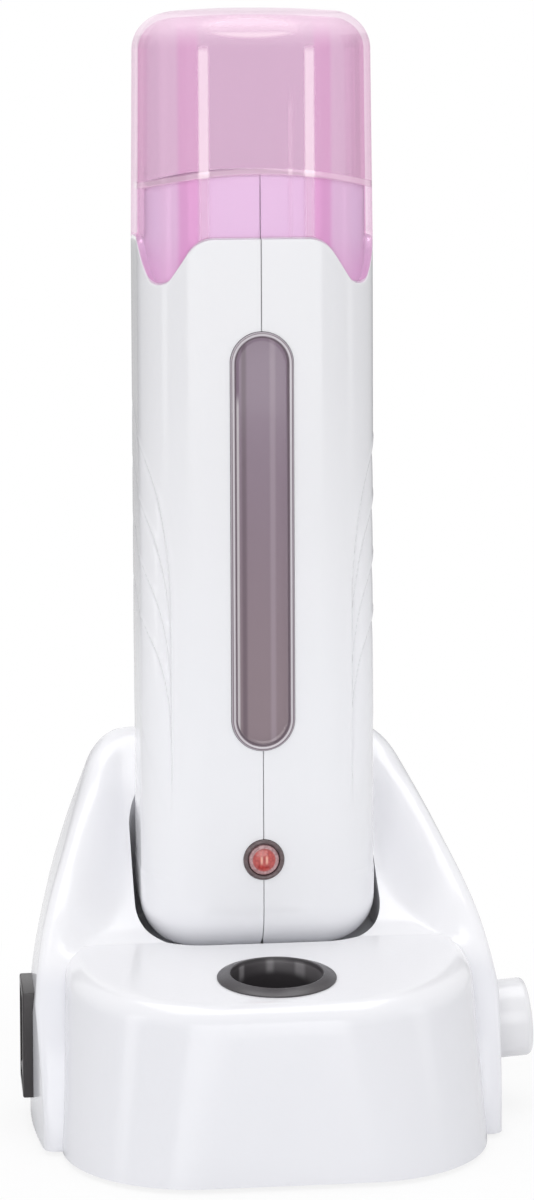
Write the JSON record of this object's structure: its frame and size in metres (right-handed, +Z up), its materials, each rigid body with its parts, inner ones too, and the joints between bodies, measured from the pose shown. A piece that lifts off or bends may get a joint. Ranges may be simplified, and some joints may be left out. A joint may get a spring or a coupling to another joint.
{
  "type": "roll on wax heater",
  "caption": "Hand-held cartridge wax heater with a clear cap, window and pilot lamp, standing upright in a docking base with tool well, rocker switch and temperature knob.",
  "frame": {"origin": "on the table plane, under the upright axis of the heater in its dock", "axes": "+X to the right seen from the front, +Y to the back, +Z up"},
  "size_m": [0.1198, 0.1159, 0.2582],
  "materials": {
    "white_plastic": "high gloss white",
    "black_plastic": "satin black",
    "dark_plastic": "dark grey gloss",
    "pink_clear": "clear pink gloss",
    "smoky_clear": "smoky purple-grey gloss",
    "red_clear": "clear red gloss",
    "lamp_glass": "clear glass",
    "grey_rubber": "matt",
    "steel": "satin",
    "brass": "satin",
    "aluminium": "satin anodised",
    "board_green": "matt",
    "component_yellow": "matt",
    "component_black": "matt",
    "wire": "matt"
  },
  "bodies": {
    "base": {"base_housing": "white_plastic", "base_bottom_plate": "white_plastic", "rubber_feet": "grey_rubber", "base_screws": "steel", "tool_well_liner": "black_plastic", "switch_housing": "black_plastic", "switch_terminals": "brass", "potentiometer_body": "steel", "potentiometer_nut": "steel", "control_board": "board_green", "board_capacitor": "component_yellow", "board_relay": "component_black", "board_triac": "component_black", "dock_contact_block": "black_plastic", "dock_contact_sleeves": "brass", "mains_inlet": "black_plastic", "mains_inlet_pins": "brass", "base_wires": "wire"},
    "rocker": {"switch_rocker": "black_plastic"},
    "knob": {"temperature_knob": "white_plastic", "potentiometer_shaft": "steel"},
    "heater": {"left_shell": "white_plastic", "right_shell": "white_plastic", "shell_screws": "steel", "window_lens": "smoky_clear", "heating_sleeve": "aluminium", "chamber_floor": "dark_plastic", "chamber_collar": "dark_plastic", "heating_element": "component_yellow", "element_clamp": "steel", "thermostat": "steel", "thermal_fuse": "steel", "pilot_lamp_bezel": "dark_plastic", "pilot_lamp_lens": "red_clear", "pilot_lamp": "lamp_glass", "heater_inlet": "black_plastic", "heater_inlet_pins": "brass", "heater_wires": "wire"},
    "cap": {"cap": "pink_clear"}
  },
  "joints": [
    {"name": "heater_lift", "type": "slide", "parent": "base", "child": "heater", "axis": [0, 0, 1], "range_m": [0, 0.1]},
    {"name": "cap_lift", "type": "slide", "parent": "heater", "child": "cap", "axis": [0, 0, 1], "range_m": [0, 0.045]},
    {"name": "switch_rock", "type": "hinge", "parent": "base", "child": "rocker", "pos_m": [-0.0492, -0.018, 0.02], "axis": [0, -1, 0], "range_deg": [0, 19.2]},
    {"name": "knob_turn", "type": "hinge", "parent": "base", "child": "knob", "pos_m": [0.0541, -0.018, 0.0196], "axis": [0.9976, 0, 0.0698], "range_deg": [0, 270]}
  ]
}
